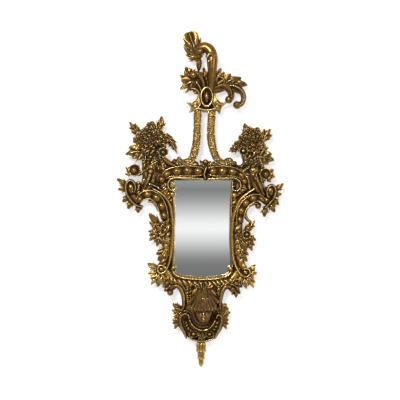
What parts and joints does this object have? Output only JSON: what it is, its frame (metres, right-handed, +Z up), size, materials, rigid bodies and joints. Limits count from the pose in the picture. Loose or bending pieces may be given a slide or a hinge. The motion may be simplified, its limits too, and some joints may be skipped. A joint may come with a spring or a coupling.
{
  "type": "girandole mirror",
  "caption": "Tall carved and gilded rococo wall mirror: a waisted glass in scrolled rims, flower horns at the shoulders, a hooked leaf crest, and a cherub head over a husk drop at the foot.",
  "frame": {"origin": "on the back face of the backboard, which rests on the wall, behind the middle of the glass", "axes": "+Z up, +X to the viewer's right, -Y out of the carved front, +Y into the wall"},
  "size_m": [0.5102, 0.0878, 1.0047],
  "materials": {
    "gilt_wood": "carved wood with worn antique gilding over red clay",
    "carcase_wood": "dark stained softwood",
    "pine_backboard": "old bare pine",
    "mirror_plate": "silvered glass",
    "iron": "aged black iron"
  },
  "bodies": {
    "mirror": {"apron_board": "carcase_wood", "backboard": "pine_backboard", "backboard_nail_1": "iron", "backboard_nail_2": "iron", "backboard_nail_3": "iron", "backboard_nail_4": "iron", "bottom_rail": "carcase_wood", "cherub_head": "gilt_wood", "crest_bud": "gilt_wood", "crest_cabochon": "gilt_wood", "crest_cartouche": "gilt_wood", "crest_crook": "gilt_wood", "crest_finial_leaf": "gilt_wood", "crest_palmette": "gilt_wood", "crest_right_spray": "gilt_wood", "foot_moulding": "gilt_wood", "hanger_plate": "iron", "hanger_screw_1": "iron", "hanger_screw_2": "iron", "head_shell": "gilt_wood", "left_apron_scroll": "gilt_wood", "left_bouquet": "gilt_wood", "left_corner_curl": "gilt_wood", "left_corner_scroll": "gilt_wood", "left_cornucopia": "gilt_wood", "left_crest_stem": "gilt_wood", "left_garland": "gilt_wood", "left_side_rim": "gilt_wood", "left_side_rose": "gilt_wood", "left_stile": "carcase_wood", "left_top_scroll": "gilt_wood", "left_trunk": "gilt_wood", "left_volute": "gilt_wood", "left_wing_board": "carcase_wood", "lower_cartouche": "gilt_wood", "mirror_glass": "mirror_plate", "pendant_drop": "gilt_wood", "right_apron_scroll": "gilt_wood", "right_bouquet": "gilt_wood", "right_corner_curl": "gilt_wood", "right_corner_scroll": "gilt_wood", "right_cornucopia": "gilt_wood", "right_crest_stem": "gilt_wood", "right_garland": "gilt_wood", "right_side_rim": "gilt_wood", "right_side_rose": "gilt_wood", "right_stile": "carcase_wood", "right_top_scroll": "gilt_wood", "right_trunk": "gilt_wood", "right_volute": "gilt_wood", "right_wing_board": "carcase_wood", "top_clasp": "gilt_wood", "top_rail": "carcase_wood"},
    "hanging_ring": {"hanging_ring": "iron"}
  },
  "joints": [
    {"name": "hanging_ring_swing", "type": "hinge", "parent": "mirror", "child": "hanging_ring", "pos_m": [0, -0.0029, 0.185], "axis": [1, 0, 0], "range_deg": [0, 180]}
  ]
}
